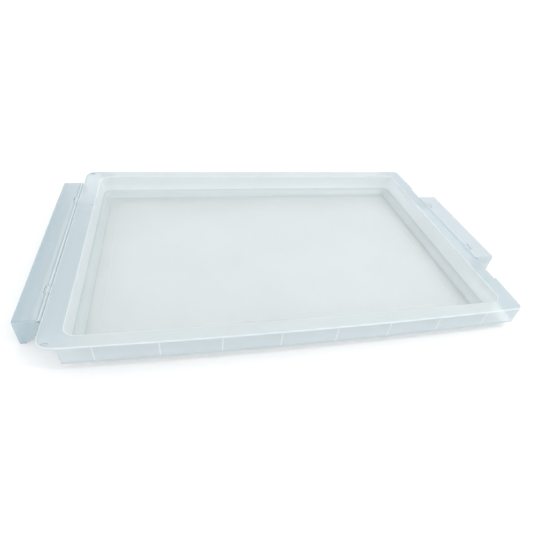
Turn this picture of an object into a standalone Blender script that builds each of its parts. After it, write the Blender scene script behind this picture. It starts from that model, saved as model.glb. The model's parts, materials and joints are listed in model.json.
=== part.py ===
"""Shallow slab mould: a clear plastic tray with a wide recess and a grip flap hinged at each end.

Metres, +Z up. X runs along the tray, from the wide flap (-X) to the narrow one (+X). The origin is
under the middle of the whole object, on the surface that the tray's flat base stands on.
"""
import math

import bmesh
import bpy
from mathutils import Matrix

# ---- driving dimensions ------------------------------------------------------------------------
WALL = 0.0020                # thickness of the moulding
FIT = 0.0003                 # gap between pieces that touch
RIM_TOP = 0.0303             # height of the rim's upper face

RIM_LEFT = 0.2370            # rim's ends and sides, measured from the middle of the object
RIM_RIGHT = 0.2370
RIM_FRONT = 0.1533
RIM_BACK = 0.1575
FRONT_BOW = 0.0042           # how far the moulding bows out at the middle of a side
RIGHT_BOW = 0.0025
LEFT_CORNER = 0.0130         # corner radii in plan
RIGHT_CORNER = 0.0060
CORNER_STEPS = 6             # facets in a corner, a side's bow and a fillet
SIDE_STEPS = 8
FILLET_STEPS = 5

FLANGE_LEFT = 0.0204         # width of the rim's flat top
FLANGE_RIGHT = 0.0182
FLANGE_FRONT = 0.0128
FLANGE_BACK = 0.0150
RECESS_DEPTH = 0.0280
RECESS_CORNER = 0.0110
RECESS_FILLET = 0.0080       # round between the recess's walls and its floor
RECESS_DRAFT = 0.0012        # how far the walls lean in on their way down
FLOOR_BAND = 0.0130          # plain band round the floor's sunk middle
FLOOR_SINK = 0.0004

SKIRT_DROP = 0.0210          # how far the long skirts hang below the rim's top
SKIRT_LEFT_END = 0.2190      # the skirts stop here, short of the left corners
RIB_DROP = 0.0185
RIB_THICK = 0.0012
RIB_PITCH = 0.0548
RIB_FIRST = -0.1918
RIB_COUNT = 8

RIGHT_EDGE = 0.2355          # the right edge's middle stands back from its corners
RIGHT_CORNER_END = 0.1040    # where the corners' skirts end, along Y

PAD_HALF = 0.0710            # shallow sunk panel in the left rim's top
PAD_SINK = 0.0005
SLOT_LENGTH = 0.0065         # little slots in the left corners of the rim
SLOT_WIDTH = 0.0022
SLOT_IN_X = 0.0081           # a slot's middle, measured in from the rim's end and side
SLOT_IN_Y = 0.0055

BARREL_RADIUS = 0.0024       # hinge barrel, knuckles and pins
BORE_RADIUS = 0.0013
PIN_RADIUS = 0.0010
PIN_LENGTH = 0.0240
KNUCKLE_WIDTH = 0.0100
WEB_BELOW = 0.0022           # a knuckle's web reaches this far below its axis, and this far above
WEB_ABOVE = 0.0014
HINGE_GAP = 0.0006           # free space between a flap and the rim's edge
ROUND_STEPS = 20

LEFT_FLAP = {"reach": 0.0246, "y0": -0.1197, "y1": 0.1275, "drop": 0.0298, "sink": 0.0008,
             "heel": 0.0140, "toe": 0.0050, "knuckles": (-0.0800, 0.0840)}
RIGHT_FLAP = {"reach": 0.0261, "y0": -0.0666, "y1": 0.0769, "drop": 0.0212, "sink": 0.0,
              "heel": 0.0140, "toe": 0.0140, "knuckles": (-0.0450, 0.0530)}
CLEAR = (0.80, 0.87, 0.88)
FLAP_TINT = (0.74, 0.82, 0.85)


# ---- helpers -----------------------------------------------------------------------------------
def clear_scene():
    for obj in list(bpy.data.objects):
        bpy.data.objects.remove(obj, do_unlink=True)


def new_collection(name):
    collection = bpy.data.collections.new(name)
    bpy.context.scene.collection.children.link(collection)
    return collection


def plastic(name, colour, roughness):
    material = bpy.data.materials.new(name)
    material.use_nodes = True
    shader = material.node_tree.nodes["Principled BSDF"]
    shader.inputs["Base Color"].default_value = (*colour, 1.0)
    shader.inputs["Roughness"].default_value = roughness
    shader.inputs["Metallic"].default_value = 0.0
    return material


def make_object(name, bm, collection, material=None, origin=(0.0, 0.0, 0.0)):
    """An object whose shape stays where the mesh has it, with its own origin at a given point."""
    bmesh.ops.recalc_face_normals(bm, faces=bm.faces)
    mesh = bpy.data.meshes.new(name)
    bm.to_mesh(mesh)
    bm.free()
    mesh.transform(Matrix.Translation(origin).inverted())
    obj = bpy.data.objects.new(name, mesh)
    obj.location = origin
    collection.objects.link(obj)
    if material:
        mesh.materials.append(material)
    return obj


def guide(name, bm):
    """A cutter, or a solid that is joined to a part."""
    obj = make_object(name, bm, GUIDES)
    obj.hide_render = True
    obj.display_type = "WIRE"
    return obj


def combine(target, other, operation):
    modifier = target.modifiers.new(other.name, "BOOLEAN")
    modifier.operation = operation
    modifier.solver = "EXACT"
    modifier.object = other


def arc(cx, cy, radius, start, steps):
    """Points of a quarter circle, anticlockwise from the angle start in degrees."""
    return [(cx + radius * math.cos(math.radians(start + 90 * i / steps)),
             cy + radius * math.sin(math.radians(start + 90 * i / steps))) for i in range(steps + 1)]


def outline(x0, x1, y0, y1, left_radius, right_radius, front_bow=0.0, right_bow=0.0):
    """Rounded rectangle, anticlockwise from its front left corner, with bowed front and right sides."""
    points = arc(x0 + left_radius, y0 + left_radius, left_radius, 180, CORNER_STEPS)
    for i in range(1, SIDE_STEPS):
        t = 2 * i / SIDE_STEPS - 1
        middle, half = (x0 + x1) / 2, (x1 - x0) / 2
        points.append((middle + t * half, y0 - front_bow * (1 - t * t)))
    points += arc(x1 - right_radius, y0 + right_radius, right_radius, 270, CORNER_STEPS)
    for i in range(1, SIDE_STEPS):
        t = 2 * i / SIDE_STEPS - 1
        middle, half = (y0 + y1) / 2, (y1 - y0) / 2
        points.append((x1 + right_bow * (1 - t * t), middle + t * half))
    points += arc(x1 - right_radius, y1 - right_radius, right_radius, 0, CORNER_STEPS)
    points += arc(x0 + left_radius, y1 - left_radius, left_radius, 90, CORNER_STEPS)
    return points


def stack(layers):
    """A solid from a flat outline that is extruded from each layer (points, z) to the next one."""
    bm = bmesh.new()
    points, z = layers[0]
    face = bm.faces.new([bm.verts.new((x, y, z)) for x, y in points])
    verts = list(face.verts)
    for level, (points, z) in enumerate(layers[1:]):
        place = dict(zip(verts, points))
        raised = bmesh.ops.extrude_face_region(bm, geom=[face])["geom"]
        if level:
            bmesh.ops.delete(bm, geom=[face], context="FACES_ONLY")
        new_verts = {}
        for vert in (item for item in raised if isinstance(item, bmesh.types.BMVert)):
            below = next(edge.other_vert(vert) for edge in vert.link_edges
                         if edge.other_vert(vert) in place)
            vert.co = (*place[below], z)
            new_verts[below] = vert
        verts = [new_verts[vert] for vert in verts]
        face = next(item for item in raised if isinstance(item, bmesh.types.BMFace))
    return bm


def prism(points, z0, z1):
    return stack([(points, z0), (points, z1)])


def tub(make_outline, inset, z0, z1):
    """A block with leaning sides and a rounded lower edge: the pan's outside, or its recess."""
    layers = []
    for i in range(FILLET_STEPS + 1):
        angle = math.radians(90 * i / FILLET_STEPS)
        layers.append((make_outline(inset + RECESS_DRAFT + RECESS_FILLET * (1 - math.sin(angle))),
                       z0 + RECESS_FILLET * (1 - math.cos(angle))))
    layers.append((make_outline(inset), z1))
    return stack(layers)


def add_box(bm, low, high):
    made = bmesh.ops.create_cube(bm, size=1.0)["verts"]
    for vert in made:
        for axis in range(3):
            vert.co[axis] = (low[axis] + high[axis]) / 2 + vert.co[axis] * (high[axis] - low[axis])


def box(low, high):
    bm = bmesh.new()
    add_box(bm, low, high)
    return bm


def add_rod(bm, x, z, radius, y0, y1):
    """A cylinder along Y."""
    made = bmesh.ops.create_cone(bm, cap_ends=True, segments=ROUND_STEPS, radius1=radius,
                                 radius2=radius, depth=y1 - y0)["verts"]
    for vert in made:
        across, along, up = vert.co.x, vert.co.z, vert.co.y
        vert.co = (x + across, (y0 + y1) / 2 + along, z - up)


def side_plate(points, y0, y1):
    """An outline in the XZ plane given a thickness along Y."""
    bm = bmesh.new()
    face = bm.faces.new([bm.verts.new((x, y0, z)) for x, z in points])
    raised = bmesh.ops.extrude_face_region(bm, geom=[face])["geom"]
    bmesh.ops.translate(bm, vec=(0, y1 - y0, 0),
                        verts=[item for item in raised if isinstance(item, bmesh.types.BMVert)])
    return bm


# ---- tray --------------------------------------------------------------------------------------
def rim_outline(inset):
    return outline(-RIM_LEFT + inset, RIM_RIGHT - inset, -RIM_FRONT + inset, RIM_BACK - inset,
                   LEFT_CORNER - inset, RIGHT_CORNER - inset, FRONT_BOW, RIGHT_BOW)


def recess_outline(inset):
    return outline(-RIM_LEFT + FLANGE_LEFT + inset, RIM_RIGHT - FLANGE_RIGHT - inset,
                   -RIM_FRONT + FLANGE_FRONT + inset, RIM_BACK - FLANGE_BACK - inset,
                   RECESS_CORNER - inset, RECESS_CORNER - inset, FRONT_BOW / 2)


def floor_outline(inset):
    """The floor's sunk middle, with corners as round as the recess's."""
    return outline(-RIM_LEFT + FLANGE_LEFT + inset, RIM_RIGHT - FLANGE_RIGHT - inset,
                   -RIM_FRONT + FLANGE_FRONT + inset, RIM_BACK - FLANGE_BACK - inset,
                   RECESS_CORNER, RECESS_CORNER, FRONT_BOW / 2)


def hinge_axis(side):
    """X and Z of a flap's hinge axis; side is -1 for the left flap and +1 for the right one."""
    flap = LEFT_FLAP if side < 0 else RIGHT_FLAP
    edge = RIM_LEFT if side < 0 else RIGHT_EDGE
    return side * (edge + HINGE_GAP + BARREL_RADIUS), RIM_TOP - flap["sink"] - BARREL_RADIUS


def build_tray(material):
    skirt_foot = RIM_TOP - SKIRT_DROP
    tray = make_object("tray", prism(rim_outline(0.0), skirt_foot, RIM_TOP), PARTS, material)

    under = prism(rim_outline(WALL), skirt_foot - WALL, RIM_TOP - WALL)
    combine(tray, guide("under_rim", under), "DIFFERENCE")

    # no skirt round the left corners, and a short lip along the left edge behind the flap
    low, high = skirt_foot - WALL, RIM_TOP - WALL
    left_open = box((-RIM_LEFT - WALL, -RIM_FRONT - 2 * FRONT_BOW, low),
                    (-SKIRT_LEFT_END, RIM_BACK + WALL, high))
    combine(tray, guide("left_open", left_open), "DIFFERENCE")
    lip = box((-RIM_LEFT, LEFT_FLAP["y0"], RIM_TOP - LEFT_FLAP["heel"]),
              (-RIM_LEFT + WALL, LEFT_FLAP["y1"], RIM_TOP - WALL / 2))
    combine(tray, guide("left_lip", lip), "UNION")

    # the right edge's middle stands back
    notch = box((RIGHT_EDGE, -RIGHT_CORNER_END, low), (RIM_RIGHT + 3 * RIGHT_BOW, RIGHT_CORNER_END,
                                                      RIM_TOP + WALL))
    combine(tray, guide("right_notch", notch), "DIFFERENCE")
    inner_skirt = box((RIGHT_EDGE - WALL, -RIGHT_CORNER_END - WALL, skirt_foot),
                      (RIGHT_EDGE, RIGHT_CORNER_END + WALL, RIM_TOP - WALL / 2))
    combine(tray, guide("right_inner_skirt", inner_skirt), "UNION")
    returns = bmesh.new()
    for side in (-1, 1):
        y0, y1 = sorted((side * RIGHT_CORNER_END, side * (RIGHT_CORNER_END + WALL)))
        add_box(returns, (RIGHT_EDGE - WALL / 2, y0, skirt_foot),
                (RIM_RIGHT + RIGHT_BOW / 4, y1, RIM_TOP - WALL / 2))
    combine(tray, guide("right_skirt_returns", returns), "UNION")

    # the pan, standing on its flat base
    pan = tub(recess_outline, -WALL, 0.0, RIM_TOP - WALL / 2)
    combine(tray, guide("pan_outside", pan), "UNION")

    # ribs between the skirts and the pan
    ribs = bmesh.new()
    for i in range(RIB_COUNT):
        x = RIB_FIRST + i * RIB_PITCH
        bow = FRONT_BOW * (1 - (x / RIM_RIGHT) ** 2)
        for y0, y1 in ((-RIM_FRONT - bow + WALL / 2, -RIM_FRONT + FLANGE_FRONT - bow / 2 - WALL / 2),
                       (RIM_BACK - FLANGE_BACK + WALL / 2, RIM_BACK - WALL / 2)):
            add_box(ribs, (x - RIB_THICK / 2, y0, RIM_TOP - RIB_DROP),
                    (x + RIB_THICK / 2, y1, RIM_TOP - WALL / 2))
    combine(tray, guide("ribs", ribs), "UNION")

    # knuckles for the two hinges
    knuckles = bmesh.new()
    for side, flap in ((-1, LEFT_FLAP), (1, RIGHT_FLAP)):
        x, z = hinge_axis(side)
        for y in flap["knuckles"]:
            add_rod(knuckles, x, z, BARREL_RADIUS, y - KNUCKLE_WIDTH / 2, y + KNUCKLE_WIDTH / 2)
    combine(tray, guide("knuckle_barrels", knuckles), "UNION")
    webs = bmesh.new()
    for side, flap in ((-1, LEFT_FLAP), (1, RIGHT_FLAP)):
        x, z = hinge_axis(side)
        edge = side * (RIM_LEFT if side < 0 else RIGHT_EDGE)
        ends = sorted((x, edge - side * WALL / 2))
        for y in flap["knuckles"]:
            add_box(webs, (ends[0], y - KNUCKLE_WIDTH / 2 + FIT, z - WEB_BELOW),
                    (ends[1], y + KNUCKLE_WIDTH / 2 - FIT, z + WEB_ABOVE))
    combine(tray, guide("knuckle_webs", webs), "UNION")

    # the recess, its sunk floor panel, and the small cuts in the left rim
    recess = tub(recess_outline, 0.0, RIM_TOP - RECESS_DEPTH, RIM_TOP + WALL)
    combine(tray, guide("recess", recess), "DIFFERENCE")
    floor_z = RIM_TOP - RECESS_DEPTH
    panel = prism(floor_outline(RECESS_FILLET + FLOOR_BAND), floor_z - FLOOR_SINK, floor_z + WALL)
    combine(tray, guide("floor_panel", panel), "DIFFERENCE")
    pad = box((-RIM_LEFT - WALL, -PAD_HALF, RIM_TOP - PAD_SINK),
              (-RIM_LEFT + FLANGE_LEFT + WALL, PAD_HALF, RIM_TOP + WALL))
    combine(tray, guide("left_pad", pad), "DIFFERENCE")
    slots = bmesh.new()
    slot_x = -RIM_LEFT + SLOT_IN_X
    for y in (-RIM_FRONT + SLOT_IN_Y, RIM_BACK - SLOT_IN_Y):
        add_box(slots, (slot_x - SLOT_LENGTH / 2, y - SLOT_WIDTH / 2, RIM_TOP - 2 * WALL),
                (slot_x + SLOT_LENGTH / 2, y + SLOT_WIDTH / 2, RIM_TOP + WALL))
    combine(tray, guide("corner_slots", slots), "DIFFERENCE")

    bores = bmesh.new()
    for side, flap in ((-1, LEFT_FLAP), (1, RIGHT_FLAP)):
        x, z = hinge_axis(side)
        for y in flap["knuckles"]:
            add_rod(bores, x, z, BORE_RADIUS, y - KNUCKLE_WIDTH, y + KNUCKLE_WIDTH)
    combine(tray, guide("knuckle_bores", bores), "DIFFERENCE")
    return tray


# ---- grip flaps --------------------------------------------------------------------------------
def build_flap(name, flap, side, material):
    """Hood of a top plate, an outer wall and two end walls, hung from a barrel along the rim."""
    axis_x, axis_z = hinge_axis(side)
    y0, y1 = flap["y0"], flap["y1"]
    top = RIM_TOP - flap["sink"]
    foot = RIM_TOP - flap["drop"]
    edge = RIM_LEFT if side < 0 else RIGHT_EDGE
    outer = side * (edge + flap["reach"])
    inner = side * (edge + HINGE_GAP)
    heel = RIM_TOP - flap["heel"]

    def span(a, b):
        return min(a, b), max(a, b)

    # the end walls: square at the top, with the lower inner corner cut off on a slant
    toe = outer - side * flap["toe"]
    end_shape = [(outer, top), (axis_x, top), (inner, axis_z), (inner, heel), (toe, foot),
                 (outer, foot)]
    body = make_object(name, side_plate(end_shape, y0, y1), PARTS, material, (axis_x, 0.0, axis_z))
    hollow_x = span(outer - side * WALL, inner - side * WALL)
    hollow = box((hollow_x[0], y0 + WALL, foot - WALL), (hollow_x[1], y1 - WALL, top - WALL))
    combine(body, guide(name + "_hollow", hollow), "DIFFERENCE")

    barrel = bmesh.new()
    add_rod(barrel, axis_x, axis_z, BARREL_RADIUS, y0, y1)
    combine(body, guide(name + "_barrel", barrel), "UNION")

    cuts = bmesh.new()
    for y in flap["knuckles"]:
        half = KNUCKLE_WIDTH / 2 + FIT
        cut_x = span(inner - side * WALL, axis_x + side * (BARREL_RADIUS + HINGE_GAP))
        add_box(cuts, (cut_x[0], y - half, axis_z - 2 * BARREL_RADIUS),
                (cut_x[1], y + half, top + WALL))
    combine(body, guide(name + "_knuckle_gaps", cuts), "DIFFERENCE")

    bore = bmesh.new()
    add_rod(bore, axis_x, axis_z, BORE_RADIUS, y0 - WALL, y1 + WALL)
    combine(body, guide(name + "_bore", bore), "DIFFERENCE")
    return body


def build_pins(side, flap, prefix, material):
    x, z = hinge_axis(side)
    for label, y in zip(("front", "rear"), flap["knuckles"]):
        bm = bmesh.new()
        add_rod(bm, x, z, PIN_RADIUS, y - PIN_LENGTH / 2, y + PIN_LENGTH / 2)
        make_object(f"{prefix}_hinge_pin_{label}", bm, PARTS, material, (x, y, z))


clear_scene()
PARTS = new_collection("slab_mould")
GUIDES = new_collection("cutters")
clear_plastic = plastic("clear_plastic", CLEAR, 0.30)
flap_plastic = plastic("flap_plastic", FLAP_TINT, 0.30)
build_tray(clear_plastic)
build_flap("left_grip_flap", LEFT_FLAP, -1, flap_plastic)
build_flap("right_grip_flap", RIGHT_FLAP, 1, flap_plastic)
build_pins(-1, LEFT_FLAP, "left", clear_plastic)
build_pins(1, RIGHT_FLAP, "right", clear_plastic)
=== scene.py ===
import json
import math

import bmesh
import bpy
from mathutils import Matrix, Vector


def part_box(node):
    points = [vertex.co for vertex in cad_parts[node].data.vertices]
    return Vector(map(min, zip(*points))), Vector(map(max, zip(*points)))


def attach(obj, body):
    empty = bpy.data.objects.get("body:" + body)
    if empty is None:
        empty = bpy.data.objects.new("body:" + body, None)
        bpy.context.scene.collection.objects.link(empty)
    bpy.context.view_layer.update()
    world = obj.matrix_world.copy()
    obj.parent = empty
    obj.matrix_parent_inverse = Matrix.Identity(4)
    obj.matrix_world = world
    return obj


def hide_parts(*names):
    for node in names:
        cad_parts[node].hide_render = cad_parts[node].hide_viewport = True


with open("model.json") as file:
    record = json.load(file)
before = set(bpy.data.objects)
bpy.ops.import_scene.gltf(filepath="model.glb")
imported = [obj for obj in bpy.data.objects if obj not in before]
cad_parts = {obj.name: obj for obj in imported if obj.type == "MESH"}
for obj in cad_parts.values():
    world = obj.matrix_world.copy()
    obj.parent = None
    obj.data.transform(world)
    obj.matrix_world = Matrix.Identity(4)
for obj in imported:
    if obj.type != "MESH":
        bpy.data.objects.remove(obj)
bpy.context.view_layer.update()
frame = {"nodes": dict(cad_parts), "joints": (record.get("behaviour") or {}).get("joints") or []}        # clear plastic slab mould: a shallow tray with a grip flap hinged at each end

# ---- sizes, in metres, from the frame where it holds them ----------------------------------------
TRAY_LOW, TRAY_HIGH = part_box("tray")
HINGES = {joint["child"]: Vector(joint["pos_m"]) for joint in frame["joints"]}
WALL = 0.0020                # thickness of the moulding
TOP = TRAY_HIGH.z            # the rim's upper face
EDGE = 0.0010                # rounding of its edges

# the rim's outline: how far each side is from the middle of the tray
FRONT_BOW = 0.0042           # the front bows out this much more at its middle
RIGHT_BOW = 0.0025           # and so would the right side, of which only the two ends are left
RIM_FRONT = -TRAY_LOW.y - FRONT_BOW
RIM_BACK = TRAY_HIGH.y
RIM_LEFT = 0.2370
RIM_RIGHT = 0.2370
LEFT_CORNER = 0.0130         # corner radii
RIGHT_CORNER = 0.0060
RIGHT_EDGE = 0.2355          # the right side stands back between its two ends
RIGHT_CORNER_END = 0.1040    # and the ends reach to here from the corners

# the recess
FLANGE_LEFT = 0.0204         # width of the rim's flat top round it
FLANGE_RIGHT = 0.0182
FLANGE_FRONT = 0.0128
FLANGE_BACK = 0.0150
RECESS_DEPTH = 0.0280
RECESS_CORNER = 0.0110
FILLET = 0.0080              # round between the recess's walls and its floor
DRAFT = 0.0012               # how far the walls lean in on their way down
FLOOR_BAND = 0.0130          # plain band round the floor's sunk middle
FLOOR_SINK = 0.0002

# the skirts
SKIRT_DROP = 0.0210          # how far they reach below the rim's upper face
LIP_DROP = 0.0140            # the same for the lip along the left side, behind the wide flap
SKIRT_LEFT_END = 0.2190      # the front and back skirts end this far left of the middle
FOOT_EDGE = 0.0006           # rounding of the lower edges
STEP = 0.0003                # half the width of a step from one height to another

# a sunk pad in the left rim, and a slot through each left corner
PAD_HALF = 0.0710            # half the pad's length
PAD_SINK = 0.0005
SLOT_LENGTH = 0.0065
SLOT_WIDTH = 0.0022
SLOT_ROUND = 0.45            # radius of the slot's ends as a share of its width
SLOT_IN_X = 0.0081           # the slot's middle, in from the rim's edges
SLOT_IN_Y = 0.0055

# ribs between the skirts and the pan
RIB_DROP = 0.0185
RIB_THICK = 0.0012
RIB_PITCH = 0.0548
RIB_FIRST = -0.1918
RIB_COUNT = 8
LINE_TOP = 0.0014            # a rib's line starts this far below the rim's upper face
LINE_SINK = 0.0001           # and is sunk this far in the skirt's outer face

# hinges and flaps
BARREL_RADIUS = 0.0024
BORE_RADIUS = 0.0013
KNUCKLE_WIDTH = 0.0100
WEB_BELOW = 0.0022           # a web joins each knuckle to the tray, from below the axis to above it
WEB_ABOVE = 0.0014
FIT = 0.0003                 # play at each side of a knuckle
HINGE_GAP = 0.0006           # gap between a flap and what is beside it
LEFT_KNUCKLES = (-0.0800, 0.0840)
RIGHT_KNUCKLES = (-0.0450, 0.0530)
HEEL_DROP = 0.0140           # where a flap's end walls start to slant outwards
LEFT_TOE = 0.0050            # what is left of their width at the foot
RIGHT_TOE = 0.0140
FLAP_EDGE = 0.8 * EDGE       # rounding of a flap's ends and of its hollow
FLAP_TOP_BAND = 0.0040       # a flap's faces this close to the rim's height are its top plate

# facets
CORNER_STEPS = 8
EDGE_STEPS = 4
FOOT_STEPS = 3
FILLET_STEPS = 8
ROUND_STEPS = 36
SLOT_STEPS = 4
FLAP_STEPS = 3
SIDE_STEPS = 18
SMOOTH_ANGLE = 32            # in degrees; a sharper edge than this isn't shaded smooth


# ---- mesh helpers --------------------------------------------------------------------------------
def arc(cx, cy, radius, start, steps):
    """Points of a quarter circle, anticlockwise from the angle start in degrees."""
    turns = [math.radians(start + 90 * i / steps) for i in range(steps + 1)]
    return [(cx + radius * math.cos(turn), cy + radius * math.sin(turn)) for turn in turns]


def quarter(radius, steps):
    """Inset and drop of each ring of a rounded edge, from the flat top over to the upright side."""
    turns = [math.radians(90 * i / steps) for i in range(steps + 1)]
    return [(radius * (1 - math.sin(turn)), radius * (1 - math.cos(turn))) for turn in turns]


def smooth(mesh):
    """Smooth shading, apart from the edges that are meant to look sharp."""
    mesh.shade_smooth()
    mesh.set_sharp_from_angle(angle=math.radians(SMOOTH_ANGLE))


def finish_mesh(name, bm):
    """Turn mesh data into an object in the scene."""
    bmesh.ops.recalc_face_normals(bm, faces=bm.faces)
    mesh = bpy.data.meshes.new(name)
    bm.to_mesh(mesh)
    bm.free()
    smooth(mesh)
    obj = bpy.data.objects.new(name, mesh)
    bpy.context.scene.collection.objects.link(obj)
    return obj


def put(obj, *materials):
    """Give an object its materials in the order of its slots.

    Clearing them sends every face back to the first slot, so a fresh mesh is left alone."""
    if obj.data.materials:
        obj.data.materials.clear()
    for material in materials:
        obj.data.materials.append(material)


def skin(bm, rings, closed=False, slots=None):
    """Quads between rings of equally many points; the first and last rings are capped or joined.

    slots gives the material slot of the quads that run from each ring to the next."""
    loops = [[bm.verts.new(point) for point in ring] for ring in rings]
    pairs = list(zip(loops, loops[1:]))
    if closed:
        pairs.append((loops[-1], loops[0]))
    for band, (lower, upper) in enumerate(pairs):
        for i in range(len(lower)):
            j = (i + 1) % len(lower)
            face = bm.faces.new((lower[i], lower[j], upper[j], upper[i]))
            face.material_index = slots[band] if slots else 0
    if not closed:
        bm.faces.new(loops[0])
        bm.faces.new(loops[-1])


def add_box(bm, low, high):
    """A box between two corners. Returns its vertices."""
    made = bmesh.ops.create_cube(bm, size=1.0)["verts"]
    for vert in made:
        for axis in range(3):
            vert.co[axis] = (low[axis] + high[axis]) / 2 + vert.co[axis] * (high[axis] - low[axis])
    return made


def add_pipe(bm, x, z, outer, inner, y0, y1):
    """A pipe along Y."""
    turns = [2 * math.pi * i / ROUND_STEPS for i in range(ROUND_STEPS)]

    def circle(radius, y):
        return [(x + radius * math.cos(turn), y, z + radius * math.sin(turn)) for turn in turns]

    skin(bm, [circle(outer, y0), circle(outer, y1), circle(inner, y1), circle(inner, y0)], closed=True)


def add_rod(bm, x, z, radius, y0, y1):
    """A round rod along Y."""
    made = bmesh.ops.create_cone(bm, cap_ends=True, segments=ROUND_STEPS, radius1=radius,
                                 radius2=radius, depth=y1 - y0)["verts"]
    for vert in made:
        across, along, up = vert.co.x, vert.co.z, vert.co.y
        vert.co = (x + across, (y0 + y1) / 2 + along, z - up)


def carve(obj, bm, operation="DIFFERENCE", slot=0):
    """Cut a shape from an object, or join it on, and keep the result as the object's own mesh.

    slot is the material slot of the faces that the shape leaves, so the object has its materials."""
    for face in bm.faces:
        face.material_index = slot
    other = finish_mesh("carver", bm)
    modifier = obj.modifiers.new("carve", "BOOLEAN")
    modifier.operation = operation
    modifier.solver = "EXACT"
    modifier.object = other
    depsgraph = bpy.context.evaluated_depsgraph_get()
    mesh = bpy.data.meshes.new_from_object(obj.evaluated_get(depsgraph))
    obj.modifiers.clear()
    obj.data = mesh
    bpy.data.objects.remove(other)


def even_shading(obj):
    """Keep large flat faces flat beside the small rounded ones."""
    smooth(obj.data)
    modifier = obj.modifiers.new("even_shading", "WEIGHTED_NORMAL")
    modifier.keep_sharp = True
    modifier.weight = 100


# ---- tray ----------------------------------------------------------------------------------------
FLOOR, COVE, WALLS, RIM, SKIRT, RIB_HIGHLIGHT, KNUCKLE, EDGE_HIGHLIGHT, INSIDE = range(9)     # its material slots


def side_stations():
    """Places along each side where the outlines have points, in the order the outline runs."""
    skirt_length = RIM_RIGHT + SKIRT_LEFT_END
    front = [-SKIRT_LEFT_END - STEP, -SKIRT_LEFT_END + STEP]
    front += [-SKIRT_LEFT_END + skirt_length * i / SIDE_STEPS for i in range(1, SIDE_STEPS)]
    flap_low, flap_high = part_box("right_grip_flap")
    right = [-RIGHT_CORNER_END] * 2 + [flap_low.y, flap_low.y / 2, 0.0, flap_high.y / 2, flap_high.y]
    right += [RIGHT_CORNER_END] * 2
    flap_low, flap_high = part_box("left_grip_flap")
    steps = [flap_low.y, -PAD_HALF, PAD_HALF, flap_high.y]
    left = [step + side * STEP for step in steps for side in (-1, 1)] + [0.0]
    return {"front": front, "right": right, "back": front[::-1], "left": sorted(left, reverse=True)}


STATIONS = side_stations()


def spread(values, old, new):
    """Move values from one range to another, keeping their proportions."""
    return [new[0] + (value - old[0]) * (new[1] - new[0]) / (old[1] - old[0]) for value in values]


def outline(x0, x1, y0, y1, radii, front_bow=0.0, right_bow=0.0, stretch_y=False):
    """Rounded rectangle, anticlockwise from its front left corner, as (x, y, side) points.

    The points of the long sides are spread between its corners. Those of the short sides keep
    their Y, unless stretch_y is set."""
    left_r, right_r = radii
    old_x = (-RIM_LEFT + LEFT_CORNER, RIM_RIGHT - RIGHT_CORNER)
    old_y = (-RIM_FRONT + RIGHT_CORNER, RIM_BACK - RIGHT_CORNER)
    xs = spread(STATIONS["front"], old_x, (x0 + left_r, x1 - right_r))
    rights, lefts = STATIONS["right"], STATIONS["left"]
    if stretch_y:
        rights = spread(rights, old_y, (y0 + right_r, y1 - right_r))
        lefts = spread(lefts, old_y, (y0 + left_r, y1 - left_r))

    def bow(value, low, high):
        """1 at the middle of a side, and 0 at and past its ends."""
        across = (2 * value - low - high) / (high - low)
        return max(0.0, 1 - across * across)

    def corner(cx, cy, radius, start):
        return [(x, y, "corner") for x, y in arc(cx, cy, radius, start, CORNER_STEPS)]

    points = corner(x0 + left_r, y0 + left_r, left_r, 180)
    points += [(x, y0 - front_bow * bow(x, x0, x1), "front") for x in xs]
    points += corner(x1 - right_r, y0 + right_r, right_r, 270)
    points += [(x1 + right_bow * bow(y, y0, y1), y, "right") for y in rights]
    points += corner(x1 - right_r, y1 - right_r, right_r, 0)
    points += [(x, y1, "back") for x in reversed(xs)]
    points += corner(x0 + left_r, y1 - left_r, left_r, 90)
    points += [(x0, y, "left") for y in lefts]
    return points


def rim_outline(inset):
    """The rim's outer edge, whose right side stands back between its two ends."""
    points = outline(-RIM_LEFT + inset, RIM_RIGHT - inset, -RIM_FRONT + inset, RIM_BACK - inset,
                     (LEFT_CORNER - inset, RIGHT_CORNER - inset), FRONT_BOW, RIGHT_BOW)
    first = next(i for i, point in enumerate(points) if point[2] == "right")
    last = first + len(STATIONS["right"]) - 1
    for i in range(first, last + 1):
        x, y, side = points[i]
        if i in (first, first + 1, last - 1, last):
            y = math.copysign(RIGHT_CORNER_END + inset, y)
        if first < i < last:
            x = RIGHT_EDGE - inset
        points[i] = (x, y, side)
    return points


def pan_outline(inset, corner, stretch_y=False):
    """A ring this far inside the edge of the recess."""
    return outline(-RIM_LEFT + FLANGE_LEFT + inset, RIM_RIGHT - FLANGE_RIGHT - inset,
                   -RIM_FRONT + FLANGE_FRONT + inset, RIM_BACK - FLANGE_BACK - inset,
                   (corner, corner), FRONT_BOW / 2, stretch_y=stretch_y)


def recess_outline(inset):
    """The recess's wall, whose corners get tighter on the way in."""
    return pan_outline(inset, RECESS_CORNER - inset)


def floor_outline(inset):
    """The floor's sunk middle, with corners as round as the recess's."""
    return pan_outline(inset, RECESS_CORNER, stretch_y=True)


def skirt_feet():
    """Height of the lower edge of the rim's outside at each point of its outline.

    The left end has no skirt, only the lip behind the flap."""
    flap_low, flap_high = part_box("left_grip_flap")
    feet = []
    for x, y, side in rim_outline(0.0):
        drop = SKIRT_DROP
        if side == "left" and flap_low.y < y < flap_high.y:
            drop = LIP_DROP
        elif x < -SKIRT_LEFT_END:
            drop = WALL
        feet.append(TOP - drop)
    return feet


def level(points, z, with_pad=False):
    """A ring at one height, or lowered where the left rim has its sunk pad."""
    return [(x, y, z - (PAD_SINK if with_pad and side == "left" and abs(y) < PAD_HALF else 0.0))
            for x, y, side in points]


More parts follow.
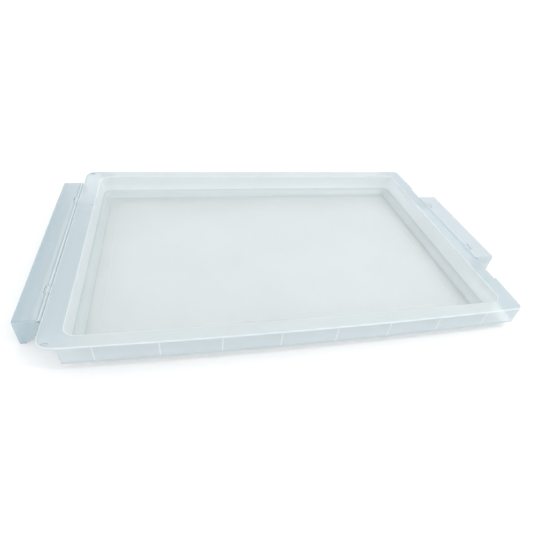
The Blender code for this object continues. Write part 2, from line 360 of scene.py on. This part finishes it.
def make_tray_shell():
    """The moulding as one skin, ring by ring from the middle of the floor to its underside."""
    floor_z = TOP - RECESS_DEPTH
    panel_inset = DRAFT + FILLET + FLOOR_BAND
    edge = quarter(EDGE, EDGE_STEPS)
    cove = quarter(FILLET, FILLET_STEPS)
    foot_edge = quarter(FOOT_EDGE, FOOT_STEPS)
    feet = skirt_feet()
    under = TOP - WALL
    rings, slots = [], []

    def add(ring, slot):
        """One more ring; slot is the material of the band that leads on from it."""
        rings.append(ring)
        slots.append(slot)

    def outside(inset, lift):
        return [(x, y, foot + lift) for (x, y, _), foot in zip(rim_outline(inset), feet)]

    def inside(inset, lift):
        """The same, but flat where there is only the rim's underside."""
        return [(x, y, foot + lift if foot < under else foot)
                for (x, y, _), foot in zip(rim_outline(inset), feet)]

    # the floor, round the cove and up the wall
    add(level(floor_outline(panel_inset + FLOOR_SINK), floor_z - FLOOR_SINK), FLOOR)
    add(level(floor_outline(panel_inset), floor_z), FLOOR)
    for inset, drop in cove:
        add(level(recess_outline(DRAFT + inset), floor_z + drop), COVE)
    slots[-1] = WALLS
    # over the rounded edge, the flat rim and its outer edge; both rounded edges carry a painted
    # highlight
    for inset, drop in reversed(edge):
        add(level(recess_outline(-inset), TOP - drop, with_pad=True), EDGE_HIGHLIGHT)
    slots[-1] = RIM
    for inset, drop in edge:
        add(level(rim_outline(inset), TOP - drop, with_pad=True), EDGE_HIGHLIGHT)
    slots[-1] = SKIRT
    # down the outside, round the foot and up the inside
    for inset, drop in reversed(foot_edge):
        add(outside(inset, drop), SKIRT)
    for inset, drop in foot_edge:
        add(inside(WALL - inset, drop), SKIRT)
    slots[-1] = INSIDE
    add(level(rim_outline(WALL + STEP), under), INSIDE)
    # under the rim, down the outside of the pan and round to its base
    add(level(recess_outline(-WALL), under), INSIDE)
    for inset, drop in reversed(cove):
        add(level(recess_outline(DRAFT - WALL + inset), drop), INSIDE)
    bm = bmesh.new()
    skin(bm, rings, slots=slots)
    return finish_mesh("tray_moulding", bm)


def clear_covered_edges(tray):
    """The edges that the flaps stand against are as clear as the moulding's inner skin."""
    for label, edge in (("left", -RIM_LEFT), ("right", RIGHT_EDGE)):
        low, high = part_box(f"{label}_grip_flap")
        for face in tray.data.polygons:
            x, y, _ = face.center
            if face.material_index == SKIRT and abs(x - edge) < WALL and low.y < y < high.y:
                face.material_index = INSIDE


def cut_slots(tray):
    """Two small slots through the rim's left corners."""
    bm = bmesh.new()
    slot_x = -RIM_LEFT + SLOT_IN_X
    for y in (-RIM_FRONT + SLOT_IN_Y, RIM_BACK - SLOT_IN_Y):
        made = add_box(bm, (slot_x - SLOT_LENGTH / 2, y - SLOT_WIDTH / 2, TOP - 2 * WALL),
                       (slot_x + SLOT_LENGTH / 2, y + SLOT_WIDTH / 2, TOP + WALL))
        upright = [edge for edge in {edge for vert in made for edge in vert.link_edges}
                   if abs(edge.verts[0].co.z - edge.verts[1].co.z) > WALL]
        bmesh.ops.bevel(bm, geom=upright, offset=SLOT_WIDTH * SLOT_ROUND, segments=SLOT_STEPS,
                        affect="EDGES")
    carve(tray, bm, slot=RIM)


def add_ribs(tray):
    """Ribs between the skirts and the pan. Each leaves a line sunk in the skirt's outer face, painted
    pale as a highlight.
    """
    ribs, lines = bmesh.new(), bmesh.new()
    low, high = TOP - RIB_DROP, TOP - WALL / 2
    back = RIM_BACK
    for i in range(RIB_COUNT):
        x = RIB_FIRST + i * RIB_PITCH
        x0, x1 = x - RIB_THICK / 2, x + RIB_THICK / 2
        bow = FRONT_BOW * (1 - (x / RIM_RIGHT) ** 2)
        front = -RIM_FRONT - bow
        add_box(ribs, (x0, front + WALL / 2, low),
                (x1, front + FLANGE_FRONT + bow / 2 - WALL / 2, high))
        add_box(ribs, (x0, back - FLANGE_BACK + WALL / 2, low), (x1, back - WALL / 2, high))
        for y in (front, back):
            add_box(lines, (x0, y - LINE_SINK, low), (x1, y + LINE_SINK, TOP - LINE_TOP))
    carve(tray, ribs, "UNION", INSIDE)
    carve(tray, lines, slot=RIB_HIGHLIGHT)


def add_knuckles(tray):
    """The tray's share of each hinge: short pipes on webs, beside the rim."""
    pipes, webs = bmesh.new(), bmesh.new()
    for child, edge, places in (("left_flap", -RIM_LEFT, LEFT_KNUCKLES),
                                ("right_flap", RIGHT_EDGE, RIGHT_KNUCKLES)):
        axis = HINGES[child]
        inner = edge - math.copysign(WALL / 2, edge)
        outer = axis.x - math.copysign((BARREL_RADIUS + BORE_RADIUS) / 2, edge)
        x0, x1 = sorted((inner, outer))
        for y in places:
            low, high = y - KNUCKLE_WIDTH / 2, y + KNUCKLE_WIDTH / 2
            add_pipe(pipes, axis.x, axis.z, BARREL_RADIUS, BORE_RADIUS, low, high)
            add_box(webs, (x0, low + FIT, axis.z - WEB_BELOW), (x1, high - FIT, axis.z + WEB_ABOVE))
    carve(tray, webs, "UNION", KNUCKLE)
    carve(tray, pipes, "UNION", KNUCKLE)


# ---- grip flaps ----------------------------------------------------------------------------------
TOP_PLATE, SIDE_WALL, HOLLOW, BARREL = range(4)     # their material slots


def make_hood(name, profile, y0, y1, inner, foot):
    """A flap's outside: a profile of (x, z) points drawn out along Y, with its ends rounded.

    The ends stay sharp at the inner side and at the foot."""
    bm = bmesh.new()
    face = bm.faces.new([bm.verts.new((x, y0, z)) for x, z in profile])
    raised = bmesh.ops.extrude_face_region(bm, geom=[face])["geom"]
    bmesh.ops.translate(bm, vec=(0, y1 - y0, 0),
                        verts=[item for item in raised if isinstance(item, bmesh.types.BMVert)])
    ends = [line for line in bm.edges
            if line.verts[0].co.y == line.verts[1].co.y
            and min(vert.co.z for vert in line.verts) > foot + WALL
            and all(abs(vert.co.x - inner) > WALL for vert in line.verts)]
    bmesh.ops.bevel(bm, geom=ends, offset=FLAP_EDGE, segments=FLAP_STEPS, affect="EDGES",
                    clamp_overlap=True)
    return finish_mesh(name, bm)


def make_flap(name, body, edge, toe_length, knuckles, plastics):
    """Hood of a top plate, an outer wall and two slanted end walls, with a hinge barrel."""
    low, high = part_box(body)
    axis = HINGES[body.replace("_grip", "")]
    side = math.copysign(1.0, edge)
    outer = low.x if side < 0 else high.x
    inner = edge + side * HINGE_GAP
    top, foot = high.z, low.z

    rounded_edge = [(outer - side * inset, top - drop)
                    for inset, drop in reversed(quarter(EDGE, EDGE_STEPS))]
    profile = rounded_edge + [(axis.x, top), (inner, axis.z), (inner, TOP - HEEL_DROP),
                              (outer - side * toe_length, foot), (outer, foot)]
    flap = make_hood(name, profile, low.y, high.y, inner, foot)
    put(flap, *plastics)
    for face in flap.data.polygons:
        if face.center.z > TOP - FLAP_TOP_BAND:
            face.material_index = TOP_PLATE
        elif abs(face.center.x - inner) < EDGE:
            face.material_index = BARREL
        else:
            face.material_index = SIDE_WALL

    hollow = bmesh.new()
    x0, x1 = sorted((outer - side * WALL, inner - side * WALL))
    made = add_box(hollow, (x0, low.y + WALL, foot - WALL), (x1, high.y - WALL, top - WALL))
    rounded = [line for line in {line for vert in made for line in vert.link_edges}
               if max(vert.co.z for vert in line.verts) > foot]
    bmesh.ops.bevel(hollow, geom=rounded, offset=FLAP_EDGE, segments=FLAP_STEPS, affect="EDGES")
    carve(flap, hollow, slot=HOLLOW)

    barrel = bmesh.new()
    add_rod(barrel, axis.x, axis.z, BARREL_RADIUS, low.y, high.y)
    carve(flap, barrel, "UNION", BARREL)

    # room for the tray's knuckles, and for the pins
    gaps = bmesh.new()
    half = KNUCKLE_WIDTH / 2 + FIT
    x0, x1 = sorted((inner - side * WALL, axis.x + side * (BARREL_RADIUS + HINGE_GAP)))
    for y in knuckles:
        add_box(gaps, (x0, y - half, axis.z - 2 * BARREL_RADIUS), (x1, y + half, top + WALL))
    carve(flap, gaps, slot=BARREL)

    bore = bmesh.new()
    add_rod(bore, axis.x, axis.z, BORE_RADIUS, low.y - WALL, high.y + WALL)
    carve(flap, bore, slot=BARREL)
    return flap


# ---- materials -----------------------------------------------------------------------------------
PLASTIC_IOR = 1.49
SATIN = 0.28                 # roughness
CLOUDY = 0.96                # the darker patches' share of the full colour
CLOUD_SCALE, CLOUD_DETAIL = 14.0, 3.0
CLOUD_RANGE = (0.30, 0.70)   # from where the noise gives the dark patches to where the full colour
GRAIN_SCALE, GRAIN_DETAIL = 900.0, 2.0
GRAIN_STRENGTH = 0.05
GRAIN_HEIGHT = 0.0004


def add_noise(nodes, scale, detail):
    noise = nodes.new("ShaderNodeTexNoise")
    noise.inputs["Scale"].default_value = scale
    noise.inputs["Detail"].default_value = detail
    return noise


def add_fade(tree, place, colour, start, end, end_colour):
    """Turn a colour into another one from start to end, as distances left or right of the middle. It
    paints shade towards the ends of the rim and of the left flap.
    """
    nodes, links = tree.nodes, tree.links
    apart = nodes.new("ShaderNodeSeparateXYZ")
    far = nodes.new("ShaderNodeMath")
    far.operation = "ABSOLUTE"
    reach = nodes.new("ShaderNodeMapRange")
    reach.interpolation_type = "SMOOTHSTEP"
    reach.inputs["From Min"].default_value = start
    reach.inputs["From Max"].default_value = end
    tint = nodes.new("ShaderNodeMix")
    tint.data_type = "RGBA"
    tint.inputs["B"].default_value = (*end_colour, 1.0)
    links.new(place.outputs["Object"], apart.inputs["Vector"])
    links.new(apart.outputs["X"], far.inputs[0])
    links.new(far.outputs["Value"], reach.inputs["Value"])
    links.new(reach.outputs["Result"], tint.inputs["Factor"])
    links.new(colour, tint.inputs["A"])
    return tint.outputs["Result"]


def plastic(name, colour, alpha, clear, fade=None):
    """Frosted clear polypropylene: a faint cloudy variation in the colour, and a fine satin grain.

    alpha is how much a surface hides what is behind it, and clear the share of the rest of its
    light that passes through. fade is (start, end, colour) for add_fade."""
    material = bpy.data.materials.new(name)
    material.use_nodes = True
    nodes, links = material.node_tree.nodes, material.node_tree.links
    shader = nodes["Principled BSDF"]
    shader.inputs["Alpha"].default_value = alpha
    shader.inputs["Transmission Weight"].default_value = clear
    shader.inputs["Roughness"].default_value = SATIN
    shader.inputs["IOR"].default_value = PLASTIC_IOR
    place = nodes.new("ShaderNodeTexCoord")

    clouds = add_noise(nodes, CLOUD_SCALE, CLOUD_DETAIL)
    ramp = nodes.new("ShaderNodeValToRGB")
    dark, full = ramp.color_ramp.elements
    dark.position, full.position = CLOUD_RANGE
    dark.color = (*[CLOUDY * part for part in colour], 1.0)
    full.color = (*colour, 1.0)
    links.new(place.outputs["Object"], clouds.inputs["Vector"])
    links.new(clouds.outputs["Fac"], ramp.inputs["Fac"])
    base = ramp.outputs["Color"]
    if fade:
        base = add_fade(material.node_tree, place, base, *fade)
    links.new(base, shader.inputs["Base Color"])

    grain = add_noise(nodes, GRAIN_SCALE, GRAIN_DETAIL)
    bump = nodes.new("ShaderNodeBump")
    bump.inputs["Strength"].default_value = GRAIN_STRENGTH
    bump.inputs["Distance"].default_value = GRAIN_HEIGHT
    links.new(place.outputs["Object"], grain.inputs["Vector"])
    links.new(grain.outputs["Fac"], bump.inputs["Height"])
    links.new(bump.outputs["Normal"], shader.inputs["Normal"])
    return material


# ---- stage ---------------------------------------------------------------------------------------
STUDIO_HALF = 6.0            # half the side of the studio's floor
STUDIO_DROP = 0.0002         # the floor lies this far below the tray
STUDIO_GREY = 0.92
STUDIO_ROUGHNESS = 0.9
WORLD_STRENGTH = 1.18
KEY_PLACE, KEY_AIM = (0.72, -0.42, 1.05), (0.1, -0.1, 0)
KEY_SIZE, KEY_POWER = 0.15, 2.6
CAMERA_PLACE = (-0.1143, -0.3828, 0.3044)
CAMERA_TURN = (50.13, -5.58, -11.05)     # in degrees
LENS, SENSOR = 26.67, 36.0               # in millimetres
CLIP_START = 0.01


def make_floor():
    bm = bmesh.new()
    bmesh.ops.create_grid(bm, x_segments=1, y_segments=1, size=STUDIO_HALF)
    floor = finish_mesh("studio_floor", bm)
    floor.location.z = -STUDIO_DROP
    material = bpy.data.materials.new("studio_white")
    material.use_nodes = True
    shader = material.node_tree.nodes["Principled BSDF"]
    shader.inputs["Base Color"].default_value = (STUDIO_GREY, STUDIO_GREY, STUDIO_GREY, 1.0)
    shader.inputs["Roughness"].default_value = STUDIO_ROUGHNESS
    put(floor, material)


def make_light(name, place, aim, size, power):
    data = bpy.data.lights.new(name, "AREA")
    data.size = size
    data.energy = power
    lamp = bpy.data.objects.new(name, data)
    lamp.location = place
    lamp.rotation_euler = (Vector(aim) - Vector(place)).to_track_quat("-Z", "Y").to_euler()
    bpy.context.scene.collection.objects.link(lamp)


def make_world():
    """White light from all round, shown as it is."""
    world = bpy.data.worlds.new("studio")
    world.use_nodes = True
    background = world.node_tree.nodes["Background"]
    background.inputs["Color"].default_value = (1.0, 1.0, 1.0, 1.0)
    background.inputs["Strength"].default_value = WORLD_STRENGTH
    bpy.context.scene.world = world
    bpy.context.scene.view_settings.view_transform = "Standard"


def make_camera():
    """The photograph's viewing angle."""
    data = bpy.data.cameras.new("camera")
    data.lens = LENS
    data.sensor_width = SENSOR
    data.clip_start = CLIP_START
    camera = bpy.data.objects.new("camera", data)
    camera.location = CAMERA_PLACE
    camera.rotation_euler = [math.radians(angle) for angle in CAMERA_TURN]
    bpy.context.scene.collection.objects.link(camera)
    bpy.context.scene.camera = camera


# ---- build ---------------------------------------------------------------------------------------
make_camera()
make_floor()
make_world()
make_light("key", KEY_PLACE, KEY_AIM, KEY_SIZE, KEY_POWER)

# each plastic: name, colour, alpha, clear and fade
INNER_SKIN = plastic("inner_skin_plastic", (0.78, 0.86, 0.89), 0.18, 0.0)
HINGE_PLASTIC = plastic("hinge_plastic", (0.64, 0.74, 0.78), 0.75, 0.0)
# painted shade: the rim's colour darkens towards its left and right ends
PAINTED_SHADE_RIM_ENDS = (0.190, 0.222, (0.48, 0.57, 0.61))
# painted shade: the left flap's top darkens towards its outer edge, where its outer wall lies beneath
PAINTED_SHADE_FLAP_EDGE = (0.242, 0.260, (0.35, 0.48, 0.55))
TRAY_PLASTICS = (plastic("floor_plastic", (0.74, 0.80, 0.81), 0.45, 0.5),
                 # painted shade: the cove between the recess walls and its floor is tinted darker
                 plastic("cove_painted_shade", (0.66, 0.74, 0.76), 0.65, 0.1),
                 # painted light: the recess walls are tinted lighter than the rim, as if lit through
                 plastic("wall_painted_light", (0.79, 0.85, 0.87), 0.80, 0.0),
                 plastic("rim_plastic", (0.63, 0.69, 0.70), 0.70, 0.0, PAINTED_SHADE_RIM_ENDS),
                 # painted shade: the upright skirts are tinted darker than the rim's top
                 plastic("skirt_painted_shade", (0.58, 0.67, 0.71), 0.62, 0.1),
                 # painted highlight: the rib lines on the skirts are tinted pale
                 plastic("rib_line_painted_highlight", (0.80, 0.87, 0.89), 0.60, 0.0),
                 HINGE_PLASTIC,
                 # painted highlight: the rounded edges of the rim are tinted lighter
                 plastic("edge_painted_highlight", (0.71, 0.78, 0.80), 0.80, 0.0),
                 INNER_SKIN)
# painted shade: the left flap's walls are tinted darker than the right flap's
LEFT_FLAP = (plastic("left_flap_top", (0.56, 0.67, 0.71), 0.42, 0.0, PAINTED_SHADE_FLAP_EDGE),
             plastic("left_flap_wall_painted_shade", (0.46, 0.59, 0.66), 0.62, 0.1), INNER_SKIN, HINGE_PLASTIC)
RIGHT_FLAP = (plastic("right_flap_top", (0.56, 0.64, 0.68), 0.54, 0.0),
              plastic("right_flap_wall", (0.61, 0.70, 0.74), 0.58, 0.1), INNER_SKIN, HINGE_PLASTIC)

tray = make_tray_shell()
put(tray, *TRAY_PLASTICS)
clear_covered_edges(tray)
cut_slots(tray)
add_ribs(tray)
add_knuckles(tray)
even_shading(tray)
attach(tray, "tray")
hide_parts("tray")

for label, edge, toe_length, knuckles, plastics in (
        ("left", -RIM_LEFT, LEFT_TOE, LEFT_KNUCKLES, LEFT_FLAP),
        ("right", RIGHT_EDGE, RIGHT_TOE, RIGHT_KNUCKLES, RIGHT_FLAP)):
    flap = make_flap(f"{label}_hood", f"{label}_grip_flap", edge, toe_length, knuckles, plastics)
    even_shading(flap)
    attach(flap, f"{label}_flap")
    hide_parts(f"{label}_grip_flap")

for name, node in frame["nodes"].items():
    if "pin" in name:
        put(node, HINGE_PLASTIC)
